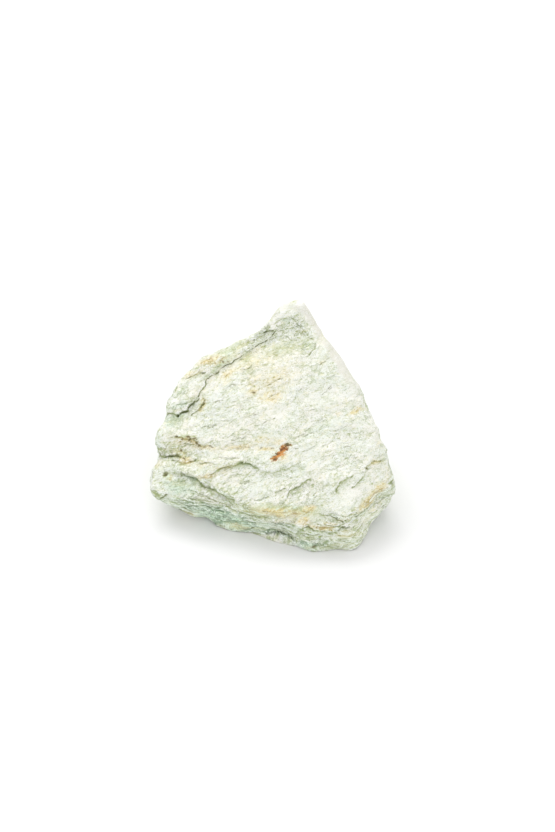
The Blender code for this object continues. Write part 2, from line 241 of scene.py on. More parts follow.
STEPS += [(route, *LAMINATION) for route in CORNER_LINES + HOLLOW_LINES]
STEP_SOFTNESS = 0.55  # half the width of the bank, in pixels
STEP_TAPER = 0.12  # the share of a route in which its step fades at each end
STEP_MARGIN = 24  # a step is nil so many pixels from its route
SKIRT_SHARE = 0.55  # how far the painted shade beside the foot reaches, as a share of the rise's reach

# Pits: right, down and radius in pixels, and depth in mm.
PITS = [(164.5, 473.5, 2, 0.8), (369, 468, 1.4, 0.6), (250, 532, 2.2, 0.5), (315, 547, 2.2, 0.4)]

# Places where the stone is fuller or leaner than the CAD solid: right, down and radius in
# pixels, and height in mm.
SWELLS = [
    (272, 325, 15, 0.5), (300, 304, 9, 0.8), (294, 299, 5, -0.45), (303, 304, 6, 0.25),
    (325, 336, 9, -0.5), (378, 430, 12, -0.3), (391, 468, 9, -0.35), (372, 525, 10, -0.8),
    (276, 540, 14, -2.65), (255, 534, 8, -0.6), (183, 513, 7, -0.45), (160, 500, 7, 0.4),
    (157, 457, 6, 0.3), (166, 415, 6, 0.3), (149, 487, 7, 0.55), (156, 446, 7, 0.4), (168, 403, 9, 0.55),
    (175, 386, 7, -0.3), (228, 345, 10, -0.4), (252, 334, 8, 0.45), (269, 317, 6, -0.5),
    (387, 445, 8, -0.35), (290, 544, 7, -1.1), (363, 542, 7, 0.05), (154, 465, 5, -0.35),
    (194, 363, 6, -0.35), (279, 309, 8, 0.3), (310, 313, 8, 0.4), (319, 326, 8, 0.25), (331, 342, 8, 0.3),
    (345, 364, 12, 0.35), (358, 386, 12, 0.6), (284, 330, 9, -0.3), (305, 343, 8, -0.6),
]

# The smooth strip along the upper right edge lies between this line and the outline.
STRIP_LINE = [
    (268, 324), (280, 314), (292, 310), (304, 315), (311, 327), (321, 342), (332, 360), (342, 378),
    (351, 396), (357, 406), (368, 414),
]

# Blots: right, down, half length and half width in pixels, turn in degrees (positive is
# anticlockwise in the photograph) and strength.
RUST = [
    (275.5, 458, 4.6, 3.8, 60, 1), (279.5, 453.5, 5, 4, 50, 1), (283, 449.5, 4.8, 3.8, 42, 0.95),
    (287.5, 445.5, 4.6, 2.2, 15, 0.9),
]
# Brown spots, and over the pits painted shade in them.
SPOTS = [
    (253.6, 392.8, 2.4, 1.6, 30, 0.8), (253.6, 415.2, 1.8, 1.6, 0, 0.45), (222, 361, 3, 1, -10, 0.7),
    (228, 362.5, 1.8, 1, 0, 0.6), (177, 436, 2.4, 1.2, -20, 0.75), (182, 438.5, 2, 1.3, -60, 0.8),
    (187, 437.5, 2.6, 1.3, -10, 0.9), (190, 440.5, 2, 1.4, -70, 0.9), (194.5, 439, 2.2, 1.2, 20, 0.8),
    (197, 442.5, 2.4, 1.5, -40, 0.95), (200, 445, 2, 1.2, -10, 0.7), (165, 448, 2.4, 1.2, -40, 0.6),
    (172, 451, 2.6, 1.1, 10, 0.65), (180, 450, 2, 1.3, 70, 0.75), (185, 452, 2.4, 1.2, -10, 0.7),
    (183, 458, 2.6, 1.3, -60, 0.8), (164.3, 473.3, 2.6, 1.9, -20, 0.65), (275.5, 458, 2.6, 1.8, 60, 0.5),
    (369, 468, 1.5, 1.4, 0, 0.9), (181, 462, 3, 1.6, -30, 0.4), (312, 508, 2.5, 1.8, 20, 0.35),
    (287.5, 444.8, 3.6, 1.5, 15, 0.9), (276, 453, 1.6, 3, 10, 0.5), (218, 372, 2.6, 1.2, 20, 0.5),
    (234, 446, 2.5, 0.9, 10, 0.5), (248, 448, 3, 0.9, 0, 0.5), (262, 446.5, 3, 0.9, 0, 0.55),
    (222, 448.5, 2.5, 0.9, 0, 0.45), (273, 461, 2, 1.4, 30, 0.4), (210, 465, 2.4, 1, 10, 0.6),
    (212, 446.5, 3, 0.9, 0, 0.6), (272, 447.5, 2.5, 0.9, -10, 0.5), (204, 446, 2.2, 0.9, 0, 0.6),
    (250, 531.5, 4, 1.2, -5, 0.6), (315, 547, 4, 1.4, 20, 0.7),
]
OCHRE = [
    (355, 412, 8, 3.2, 30, 1.2), (337, 414, 6, 2, 20, 0.6), (380, 488, 13, 4.6, 47, 1),
    (364, 506, 14, 3.4, 38, 1), (346, 519, 10, 2.8, 10, 0.6), (280, 512.5, 30, 4.8, -3, 1.2),
    (330, 530, 44, 9, 3, 0.15), (366, 524, 16, 8, 50, 0.35), (270, 397, 16, 8, 15, 0.85),
    (264, 440, 20, 6, 5, 0.5), (305, 519, 4, 3, 10, 0.9), (330, 524, 9, 2.4, -5, 0.8),
    (312, 527, 6, 2.4, 0, 0.7), (236, 358, 18, 4, 33, 0.4), (225, 467, 20, 3, 8, 0.5),
    (300, 522, 26, 4, -4, 0.5), (310, 508.5, 7, 4, 15, 1.3), (303, 522, 9, 4, 0, 0.9),
    (206, 447, 16, 3, -6, 0.8), (190, 441, 12, 3.2, -20, 0.9), (371, 497, 8, 3, 44, 1.1),
    (240, 447.5, 20, 3.4, 3, 0.75), (266, 448, 14, 3.2, 0, 0.8), (158, 463, 11, 7, 0, 0.5),
    (240, 348, 24, 6, 33, 0.4), (178, 452, 14, 7, -10, 0.5), (200, 464, 14, 7, 10, 0.5),
    (280, 441, 8, 3, 20, 0.8), (283, 458, 5, 4, 45, 1.2), (203, 404, 7, 2.6, 60, 1),
    (186, 460, 12, 5, -15, 0.8), (206, 477, 12, 3.2, 12, 0.8), (268, 380, 36, 16, 12, 0.5),
    (278, 376, 26, 8, 12, 0.6), (252, 392, 9, 6, 20, 0.7), (212, 360, 16, 5, 15, 1.1),
    (192, 374, 12, 5, 12, 0.7), (227, 374, 9, 4, 30, 1), (200, 409, 8, 4, 45, 0.6),
    (169.5, 478, 5, 4, 0, 0.7), (255, 360, 50, 14, 20, 0.45), (376, 462, 8, 3, 25, 0.6),
    (229, 377, 12, 6, 30, 0.5), (322, 362, 8, 3, 20, 0.4), (262, 417, 5, 3, 60, 0.5),
    (380, 441, 7, 2.6, 35, 0.4), (300, 330, 14, 3, 20, 0.35), (222, 472, 10, 3, 15, 0.4),
    (180, 440, 16, 7, -10, 0.55), (250, 355, 30, 5, 33, 0.45), (345, 535, 22, 5, 8, 0.5),
    (190, 515, 16, 3.5, -20, 0.6), (240, 528, 22, 3, -10, 0.6), (224, 528, 12, 5, -14, 0.5),
    (322, 528, 16, 3, -6, 0.8), (372, 512, 20, 8, 42, 0.3), (200, 395, 16, 8, 30, 0.35),
]
# Green of the fuchsite, and in places painted shade: below the ledges and along the lower rim.
GREEN = [
    (225, 520, 60, 11.5, -17, 1), (186, 502, 22, 5, -20, 0.4), (192, 482, 14, 3.5, -20, 0.5),
    (228, 506, 16, 5, -27, 0.2), (283, 528, 32, 11, -12, 0.5), (318, 543, 26, 6, 0, 0.5),
    (308, 546, 12, 5, 0, 1), (268, 508, 14, 6, -5, 0.4), (229, 500, 18, 5, -22, 0.2),
    (172, 420, 12, 8, 30, 0.7), (180, 487, 20, 12, -20, 0.8), (190, 479, 8, 2.6, -20, 0.8),
    (293, 305, 16, 7, 0, 0.25), (180, 480, 14, 6, -20, 0.55), (232, 352, 22, 6, 33, 0.4),
    (312, 499, 10, 5, 30, 0.35), (286, 320, 10, 4, 15, 0.45), (298, 326, 7, 5, -30, 0.3),
    (307, 344, 9, 7, -45, 0.4), (284, 336, 14, 6, 20, 0.2), (158, 440, 6, 12, 10, 0.4),
    (240, 467, 18, 4, 4, 0.5), (178, 405, 12, 5, 15, 0.6), (298, 488, 14, 4, 35, 0.35),
    (345, 486, 8, 6, 45, 0.35), (320, 430, 26, 10, 20, 0.3), (305, 470, 30, 10, 20, 0.3),
    (232, 490, 20, 6, -10, 0.25), (215, 430, 24, 8, 10, 0.25), (182, 390, 10, 8, 30, 0.4),
]
# Olive dirt in the rougher places, and painted shade below the ledges and along the lower rim.
OLIVE_AND_SHADE = [
    (270, 332, 13, 4, 28, 0.4), (252, 347, 24, 4, 33, 0.5), (214, 370, 7, 3, 25, 0.9),
    (222, 362, 16, 5, 20, 0.8), (190, 479, 8, 2.4, -20, 0.7), (180, 484, 18, 10, -20, 0.65),
    (205, 427, 30, 10, 10, 0.15), (196, 376, 14, 6, 35, 0.5), (205, 377, 6, 4, 30, 0.7),
    (181, 455, 13, 6, -10, 0.75), (172, 447, 14, 9, -10, 0.5), (186, 438, 14, 3.5, -15, 1),
    (196, 484, 14, 3.5, -25, 0.5), (190, 465, 24, 8, 0, 0.35), (192, 480, 12, 4, -22, 0.9),
    (212, 494, 14, 4, -38, 0.7), (228, 504, 12, 3.5, -25, 0.7), (228, 350, 24, 7, 33, 0.8),
    (246, 358, 14, 7, 20, 0.6), (180, 420, 12, 8, 10, 0.5), (311, 443, 12, 8, 20, 0.3),
    (312, 546, 14, 4, 0, 0.5), (288, 510, 36, 6, -3, 1.1), (313, 512, 10, 8, 20, 0.7),
    (240, 466, 16, 3, 6, 0.8), (202, 405, 8, 3, 55, 0.9), (179, 415, 10, 4, -10, 0.9),
    (190, 403, 6, 3, 30, 0.5), (212, 366, 12, 5, 25, 0.5), (304, 353, 12, 6, 30, 0.35),
    (325, 358, 12, 5, 40, 0.4), (230, 362, 24, 5, 33, 0.5), (285, 348, 26, 8, 20, 0.65),
    (380, 492, 14, 3, 47, 0.25), (376, 462, 9, 3, 25, 0.55), (345, 522, 16, 3, 5, 0.3),
    (246, 531, 18, 2.6, -10, 0.7), (322, 546, 34, 5, 0, 0.7), (262, 360, 34, 9, 30, 0.35),
    (167.5, 476.5, 5, 4.5, -30, 1.1), (182, 478, 14, 3, -22, 0.5), (236, 351, 22, 4, 33, 0.6),
    (299, 488, 12, 3, 36, 0.45), (175, 419, 12, 6, 0, 0.8), (254, 511, 22, 6, -14, 1),
    (222, 466, 18, 4, 8, 0.5), (205, 470, 14, 5, 0, 0.45), (366, 500, 26, 5, 45, 0.3),
    (330, 534, 40, 8, 2, 0.1), (262, 533, 30, 5, -16, 0.6), (196, 524, 22, 3, -22, 0.5),
    (235, 528, 24, 4, -14, 0.5), (198, 398, 10, 3, 55, 0.6), (344, 484, 9, 4, 50, 0.4),
    (210, 476, 12, 3, 15, 0.4),
]
# Places that are smooth and pale.
SMOOTH = [
    (350, 496, 22, 8, 40, 0.9), (372, 517, 24, 12, 48, 0.6), (350, 536, 18, 8, 20, 0.4),
    (311, 320, 20, 6, -58, 1), (292, 305, 18, 9, 10, 1), (276, 319, 10, 4, 32, 0.9),
    (256, 331, 14, 3, 28, 0.6), (326, 398, 30, 16, 10, 0.6), (352, 396, 10, 8, -60, 0.6),
    (318, 356, 20, 12, -55, 0.45), (366, 428, 12, 12, 0, 0.4), (296, 375, 16, 12, 20, 0.4),
    (285, 333, 12, 5, 20, 0.3), (275, 413, 26, 11, 18, 0.65), (336, 388, 12, 12, 40, 0.4),
    (205, 432, 26, 6, 6, 0.45), (240, 425, 20, 8, 10, 0.35),
]
# Where the surface is rougher than elsewhere.
ROUGH = [
    (285, 330, 28, 12, 22, 1), (306, 345, 10, 10, 0, 0.5), (175, 449, 22, 14, 0, 1),
    (230, 515, 70, 18, -15, 0.75), (340, 532, 60, 16, 10, 0.45), (212, 425, 26, 16, 10, 0.3),
    (372, 508, 26, 10, 42, 0.4), (215, 364, 20, 8, 20, 0.8), (250, 472, 60, 16, 5, 0.35),
    (302, 496, 40, 14, 15, 0.35), (190, 405, 16, 9, 20, 0.5), (250, 345, 20, 6, 33, 0.6),
]
BLOTS = {"rust": RUST, "spot": SPOTS, "ochre": OCHRE, "green": GREEN, "olive": OLIVE_AND_SHADE}
# What is left on the mesh for the material to read.
MARKS = ("steep", "rough", "smooth", "strip", "hollow", "foot", "crack", *BLOTS)

# How a drawn line strays from its route: long and short bends, and jogs at the edges of small
# plates. The reaches and the jogs are in pixels, the wavelengths and the plates' size in mm.
LONG_BEND = (1.3, 2.6)  # reach, wavelength
SHORT_BEND = (1.1, 1.0)
BEND_SEEDS = (3.0, 13.0)
PLATE_SIZE = (2.0, 1.2, 1.6)
JOG = 1.7
STAIN_RAGGEDNESS = 1.3  # the edge of a stain strays so many times as far as a line

# The grain, in mm. A place that is wholly rough has the rough rise on top of the plain one.
SCALE_SIZE = (1.4, 0.8, 1.2)
SCALE_RISE = 0.08
ROUGH_SCALE_RISE = 0.12
RAGGED_RISE = 0.11
ROUGH_RAGGED_RISE = 0.22
CRACKS = [(2.6, 0.08, 0.08, 71.0), (1.6, 0.10, 0.07, 81.0)]  # wavelength, width, depth, seed
SIDE_ROWS = [(2.5, 0.22, 1.4, 24.0), (1.3, 0.14, 1.5, 34.0)]  # spacing, rise, waver, seed
FALL_SHARE = 0.8  # the share of a row's height in which it falls back from its proud foot
SIDE_SHEETS = [(1.7, 0.14, 44.0), (1.1, 0.11, 54.0)]  # wavelength, rise, seed
SIDE_SCALE_SIZE = (1.0, 0.8, 1.0)
SIDE_SCALE_RISE = 0.06
SIDE_CRACK = (3.0, 0.13, 0.16, 101.0)  # wavelength, width, depth, seed
SHEET_SQUEEZE = 0.4  # places are squeezed so along the layers, which draws the sheets' edges out

# The whole surface, in mm.
LUMP_RISE = 0.2
LUMP_WAVELENGTH = 8.0
WEAR = 0.12  # the fine surface lies so much further in, which keeps its crests inside the solid
SMOOTH_LOSS = 0.75  # the share of the grain that a smooth place loses
GROUND_FADE = (0.4, 0.9)  # the heights between which the relief fades in on the underside
HOLLOW_PASSES = 10  # how wide an area a place is set against, to tell a hollow from a crest

stone_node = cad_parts["fuchsite_stone"]


def smoothstep(low, high, value):
    share = np.clip((value - low) / (high - low), 0.0, 1.0)
    return share * share * (3.0 - 2.0 * share)


def noise_at(points, wavelength, seed):
    """Smooth noise from about -1 to 1 at each point, whose places are in mm."""
    offset = np.array([seed, -2.0 * seed, 3.0 * seed])
    return np.array([noise.noise(place) for place in (points / wavelength + offset).tolist()])


def fractal(points, wavelength, octaves, seed):
    total = sum(noise_at(points, wavelength / 2**i, seed + 5.7 * i) / 2**i for i in range(octaves))
    return total / sum(0.5**i for i in range(octaves))


def cell_value(centre):
    """Three random shares for a cell of a Voronoi pattern, from where its centre is."""
    return noise.cell_vector(7.3 * centre)


def read_points(mesh, name):
    values = np.empty(3 * len(mesh.vertices))
    mesh.vertices.foreach_get(name, values)
    return values.reshape(-1, 3)


def read_edges(mesh):
    ends = np.empty(2 * len(mesh.edges), int)
    mesh.edges.foreach_get("vertices", ends)
    return ends.reshape(-1, 2)


def spread(values, edges, passes):
    """Values at vertices, blurred over the mesh."""
    first, second = edges.T
    many = len(values)
    count = np.bincount(edges.ravel(), minlength=many)
    for _ in range(passes):
        around = np.bincount(first, values[second], many) + np.bincount(second, values[first], many)
        values = 0.5 * values + 0.5 * around / count
    return values


def apply_modifiers(thing):
    bpy.context.view_layer.update()
    graph = bpy.context.evaluated_depsgraph_get()
    mesh = bpy.data.meshes.new_from_object(thing.evaluated_get(graph))
    thing.modifiers.clear()
    thing.data = mesh


def to_pixels(points):
    """Where in the photograph each point shows, as (right, down), for points in mm."""
    offset = points * MM - EYE
    depth = -(offset @ SIGHT)
    focal = CAMERA_DISTANCE / PIXEL
    right = PHOTO_WIDTH / 2 + focal * (offset @ ACROSS) / depth
    down = PHOTO_HEIGHT / 2 - focal * (offset @ UP) / depth
    return np.column_stack([right, down])


def place_by_route(pixels, route):
    """The distance of each pixel from a route, plus on its left, and its share of the way along."""
    route = np.array(route, float)
    legs = np.diff(route, axis=0)
    lengths = np.linalg.norm(legs, axis=1)
    walked = np.concatenate([[0.0], np.cumsum(lengths)])
    nearest = np.full(len(pixels), np.inf)
    signed = np.zeros(len(pixels))
    share = np.zeros(len(pixels))
    for start, leg, length, before in zip(route, legs, lengths, walked):
        offset = pixels - start
        along = np.clip(offset @ leg / length**2, 0.0, 1.0)
        distance = np.linalg.norm(offset - along[:, None] * leg, axis=1)
        side = np.sign(leg[1] * offset[:, 0] - leg[0] * offset[:, 1])
        closer = distance < nearest
        nearest = np.where(closer, distance, nearest)
        signed = np.where(closer, side * distance, signed)
        share = np.where(closer, (before + along * length) / walked[-1], share)
    return signed, share


def near_route(pixels, route, margin):
    low = np.min(route, axis=0) - margin
    high = np.max(route, axis=0) + margin
    return np.flatnonzero(np.all((pixels > low) & (pixels < high), axis=1))


def step(pixels, route, rise, reach, cleft, half_width, dark, shade):
    """The relief of one step in mm, and how dark the painted shade in its cleft and at its foot is at each
    point.
    """
    signed, share = place_by_route(pixels, route)
    taper = smoothstep(0.0, STEP_TAPER, share) * smoothstep(0.0, STEP_TAPER, 1.0 - share)
    bank = 0.5 * rise * np.tanh(signed / STEP_SOFTNESS) * np.exp(-np.abs(signed) / reach)
    gap = np.exp(-((signed / half_width) ** 2))
    foot_shade = np.where(signed < 0.0, np.exp(signed / (SKIRT_SHARE * reach)), gap)
    return taper * (bank - cleft * gap), dark * taper * gap, shade * taper * foot_shade


def blot(pixels, right, down, half_length, half_width, turn, strength):
    angle = math.radians(turn)
    offset = pixels - np.array([right, down])
    along = offset @ np.array([math.cos(angle), -math.sin(angle)])
    over = offset @ np.array([math.sin(angle), math.cos(angle)])
    return strength * np.exp(-((along / half_length) ** 2) - (over / half_width) ** 2)


def strongest(pixels, blots):
    total = np.zeros(len(pixels))
    for one in blots:
        total = np.maximum(total, blot(pixels, *one))
    return total


def wander(points):
    """How far a drawn line strays from its route at each point, in pixels."""
    plates = (points @ LAYER_AXES.T / np.array(PLATE_SIZE)).tolist()
    jogs = np.array([cell_value(noise.voronoi(place)[1][0]) for place in plates]) - 0.5
    bends = []
    for seed in BEND_SEEDS:
        long_bend = LONG_BEND[0] * noise_at(points, LONG_BEND[1], seed)
        bends.append(long_bend + SHORT_BEND[0] * fractal(points, SHORT_BEND[1], 2, seed + 1.0))
    return np.column_stack(bends) + JOG * jogs[:, :2]


def saw(value):
    """A long fall from 1 to -1 above each whole number, then a short climb back to 1."""
    share = value - np.floor(value)
    fall = 1.0 - 2.0 * share / FALL_SHARE
    climb = 2.0 * (share - FALL_SHARE) / (1.0 - FALL_SHARE) - 1.0
    return np.where(share < FALL_SHARE, fall, climb)


def rows(height, points, spacing, rise, waver, seed):
    """Ragged rows of edges, each proud at its foot and falling back above it, in mm."""
    stray = waver * fractal(points, 3.2 * spacing, 3, seed)
    patch = smoothstep(-0.30, 0.20, noise_at(points, 3.0 * spacing, seed + 6.1))
    return rise * patch * saw(height / spacing + stray)


def scales(points, axes, size, seed):
    """Small tilted scales, as relief from about -1 to 1: proud along the lower edge of each."""
    places = ((points @ axes.T) / np.array(size) + seed).tolist()
    relief = np.empty(len(points))
    for i, place in enumerate(places):
        centre = noise.voronoi(place)[1][0]
        lean = cell_value(centre)
        along = (lean[0] - 0.5) * (place[0] - centre[0])
        over = (0.6 + 0.8 * lean[1]) * (centre[1] - place[1])
        relief[i] = along + over + 0.6 * (lean[2] - 0.5)
    return relief


def steepness(normals):
    """1 on the sides and where they overhang, and 0 on the top and on the flat underside."""
    rise = normals[:, 2]
    return (1.0 - smoothstep(0.38, 0.66, rise)) * (1.0 - smoothstep(0.82, 0.95, -rise))


def fissures(places, wavelength, width, seed):
    """Short open cracks with one side proud: relief from -1 to 1, and how much each point is in one."""
    value = noise_at(places, wavelength, seed) + 0.25 * noise_at(places, wavelength / 3.0, seed + 4.4)
    patch = smoothstep(0.0, 0.25, noise_at(places, 1.3 * wavelength, seed + 8.8))
    gap = patch * np.exp(-((value / width) ** 2))
    return 0.6 * patch * np.tanh(value / width) - gap, gap


def sheets(places, wavelength, seed):
    """The torn edges of thin sheets: narrow crests over wide hollows, from about -1 to 1."""
    value = noise_at(places, wavelength, seed) + 0.45 * noise_at(places, 0.45 * wavelength, seed + 2.2)
    return 1.0 - 3.4 * np.abs(value)


def broad_grain(points, rough):
    """The scales and cracks of the broad face in mm, and how much each point is in a crack."""
    relief = (SCALE_RISE + ROUGH_SCALE_RISE * rough) * scales(points, LAYER_AXES, SCALE_SIZE, 5.5)
    waviness = 0.5 * noise_at(points, 4.0, 61.0)
    places = points @ LAYER_AXES.T @ np.diag([0.5, 1.0, 0.6]) + np.outer(waviness, [0.0, 1.0, 0.0])
    gaps = np.zeros(len(points))
    for wavelength, width, depth, seed in CRACKS:
        bank, gap = fissures(places, wavelength, width, seed)
        relief += depth * bank
        gaps = np.maximum(gaps, gap)
    return relief, gaps


def side_grain(points, hidden):
    """The level layers of the sides in mm, and how much each point is in a crack between them."""
    waviness = 1.2 * noise_at(points, 20.0, 1.7) + 0.8 * noise_at(points, 5.0, 8.1)
    level = points[:, 2] + 0.05 * points[:, 0] + waviness
    squeezed = points @ np.diag([0.45, 0.45, 1.0])
    relief = sum(rows(level, squeezed, *sizes) for sizes in SIDE_ROWS)
    places = np.column_stack([SHEET_SQUEEZE * points[:, 0], SHEET_SQUEEZE * points[:, 1], level])
    for wavelength, rise, seed in SIDE_SHEETS:
        relief += rise * sheets(places, wavelength, seed)
    axes = np.array([[0.3, 0.0, 0.0], [0.0, 0.0, 1.0], [0.0, 0.3, 0.0]])
    relief += SIDE_SCALE_RISE * scales(points, axes, SIDE_SCALE_SIZE, 15.5)
    # Round the back there are calmer patches, where a sheet came off whole.
    relief *= 1.0 - 0.5 * hidden * smoothstep(-0.2, 0.3, noise_at(points, 9.0, 111.0))
    wavelength, width, depth, seed = SIDE_CRACK
    bank, gaps = fissures(places, wavelength, width, seed)
    return relief + depth * bank, gaps


def grain_relief(points, steep, rough, hidden):
    """The relief of layers and scales all round the stone in mm, and how cracked each point is."""
    broad, broad_gaps = broad_grain(points, rough)
    sides, side_gaps = side_grain(points, hidden)
    ragged = (RAGGED_RISE + ROUGH_RAGGED_RISE * rough) * fractal(points, 1.4, 3, 33.0)
    relief = (1.0 - steep) * broad + steep * sides + ragged
    return relief, 0.25 * (1.0 - steep) * broad_gaps + 0.5 * steep * side_gaps


def drawn_relief(points, pixels, drawn, shown):
    """What is drawn for the side that shows, in mm, and the painted shade that clefts and feet give each
    point.
    """
    steps = np.zeros(len(points))
    swell = np.zeros(len(points))
    crack = np.zeros(len(points))
    foot = np.zeros(len(points))
    for route, *sizes in STEPS:
        here = near_route(drawn, route, STEP_MARGIN)
        bank, gap, foot_shade = step(drawn[here], route, *sizes)
        steps[here] += bank
        crack[here] = np.maximum(crack[here], gap)
        foot[here] = np.maximum(foot[here], foot_shade)
    for right, down, radius, depth in PITS:
        steps -= blot(drawn, right, down, radius, radius, 0.0, depth)
    for right, down, radius, height in SWELLS:
        swell += blot(pixels, right, down, radius, radius, 0.0, height)
    # The painted shade in the clefts and at the feet comes and goes along them.
    crack *= shown * (0.25 + 0.75 * smoothstep(-0.30, 0.20, fractal(points, 2.2, 3, 93.0)))
    foot *= shown * (0.2 + 0.8 * smoothstep(-0.3, 0.3, fractal(points, 2.6, 3, 97.0)))
    return shown * steps + swell, crack, foot


def smooth_strip(drawn, facing):
    """How much each point is in the smooth strip along the upper right edge."""
    signed, share = place_by_route(drawn, STRIP_LINE)
    strip = smoothstep(-2.0, 3.0, signed) * smoothstep(30.0, 20.0, signed)
    strip *= smoothstep(-0.40, -0.15, facing)
    return strip * smoothstep(-0.05, 0.30, share) * smoothstep(1.0, 0.65, share)


def carve(piece):
    """Moves the mesh out and in along its normals, and leaves on it the marks that the material reads."""
    mesh = piece.data
    points = read_points(mesh, "co") / MM
    normals = read_points(mesh, "normal")
    pixels = to_pixels(points)
    stray = wander(points)
    drawn = pixels + stray
    facing = normals @ SIGHT
    seen = smoothstep(-0.05, 0.15, facing)
    hidden = 1.0 - seen
    steep = steepness(normals)

    steps, crack, foot = drawn_relief(points, pixels, drawn, smoothstep(0.02, 0.30, facing))
    strip = smooth_strip(drawn, facing)
    smooth = np.maximum(strip, strongest(drawn, SMOOTH) * smoothstep(-0.5, -0.1, facing))
    rough = strongest(pixels, ROUGH) * seen
    grain, gaps = grain_relief(points, steep, rough, hidden)
    lumps = LUMP_RISE * noise_at(points, LUMP_WAVELENGTH, 43.0)
    relief = grain * (1.0 - SMOOTH_LOSS * smooth) + steps + lumps - WEAR

    marks = {"foot": foot, "strip": strip, "smooth": smooth, "rough": rough, "steep": steep}
    # Painted shade in the drawn clefts and in the cracks of the grain.
    marks["crack"] = np.maximum(crack, gaps * (1.0 - smooth))
    # How much lower each point lies than the area around it: the material paints shade there, and a
    # highlight on the crests.
    marks["hollow"] = spread(relief, read_edges(mesh), HOLLOW_PASSES) - relief
    ragged = pixels + STAIN_RAGGEDNESS * stray
    turned_this_way = smoothstep(-0.30, -0.05, facing)
    for name, blots in BLOTS.items():
        marks[name] = strongest(ragged, blots) * turned_this_way
    flattened = points * np.array([0.6, 0.6, 1.3])
    green_patches = smoothstep(-0.25, 0.45, fractal(flattened, 8.0, 3, 80.0))
    marks["green"] += 0.6 * hidden * steep * green_patches
    marks["ochre"] += 0.7 * hidden * smoothstep(0.1, 0.6, fractal(points, 9.0, 2, 90.0))

    # Near the ground the underside stays as it is, so that the base is cut through it cleanly.
    off_the_ground = smoothstep(*GROUND_FADE, points[:, 2])
    kept = np.maximum(off_the_ground, smoothstep(-0.98, -0.80, normals[:, 2]))
    points += normals * (relief * kept)[:, None]
    mesh.vertices.foreach_set("co", (points * MM).ravel())
    for name, values in marks.items():
        layer = mesh.attributes.new(name, "FLOAT", "POINT")
        layer.data.foreach_set("value", values.astype(np.float32))
    mesh.update()


def refine_along_routes(piece):
    """Halves the mesh's squares along the drawn steps, so that their edges are sharp."""
    mesh = piece.data
    points = read_points(mesh, "co") / MM
    drawn = to_pixels(points) + wander(points)
    facing = read_points(mesh, "normal") @ SIGHT
    close = np.zeros(len(points), bool)
    for route, *_ in STEPS:
        here = near_route(drawn, route, DRAWN_MARGIN)
        signed, _ = place_by_route(drawn[here], route)
        close[here] |= np.abs(signed) < DRAWN_MARGIN
    close &= facing > 0.1
    shape = bmesh.new()
    shape.from_mesh(mesh)
    faces = [face for face in shape.faces if any(close[corner.index] for corner in face.verts)]
    chosen = {edge for face in faces for edge in face.edges}
    ordered = [edge for edge in shape.edges if edge in chosen]
    bmesh.ops.subdivide_edges(shape, edges=ordered, cuts=1, use_grid_fill=True)
    shape.to_mesh(mesh)
    shape.free()


def fine_copy(node, name):
    """An even, fine mesh of a CAD node, with its facets worn away."""
    piece = bpy.data.objects.new(name, node.data.copy())
    bpy.context.scene.collection.objects.link(piece)
    remesh = piece.modifiers.new("Remesh", "REMESH")
    remesh.mode = "VOXEL"
    remesh.voxel_size = VOXEL
    smooth = piece.modifiers.new("Smooth", "SMOOTH")
    smooth.factor = 0.5
    smooth.iterations = SMOOTH_PASSES
    apply_modifiers(piece)
    return piece


def drop_crumbs(shape):
    """Keeps the part of the mesh that the summit is in."""
    summit = max(shape.verts, key=lambda corner: corner.co.z)
    kept = {summit}
    front = [summit]
    while front:
        corner = front.pop()
        around = {edge.other_vert(corner) for edge in corner.link_edges} - kept
        kept |= around
        front += around
    crumbs = [corner for corner in shape.verts if corner not in kept]
    bmesh.ops.delete(shape, geom=crumbs, context="VERTS")


def cut_base(piece):
    """The flat break that the stone lies on."""
    shape = bmesh.new()
    shape.from_mesh(piece.data)
    everything = shape.verts[:] + shape.edges[:] + shape.faces[:]
    cut = bmesh.ops.bisect_plane(
        shape, geom=everything, plane_co=(0.0, 0.0, 0.0), plane_no=(0.0, 0.0, 1.0), clear_inner=True
    )
    rim = [part for part in cut["geom_cut"] if isinstance(part, bmesh.types.BMEdge)]
    bmesh.ops.edgeloop_fill(shape, edges=rim)
    drop_crumbs(shape)
    bmesh.ops.recalc_face_normals(shape, faces=shape.faces)
    shape.to_mesh(piece.data)
    shape.free()


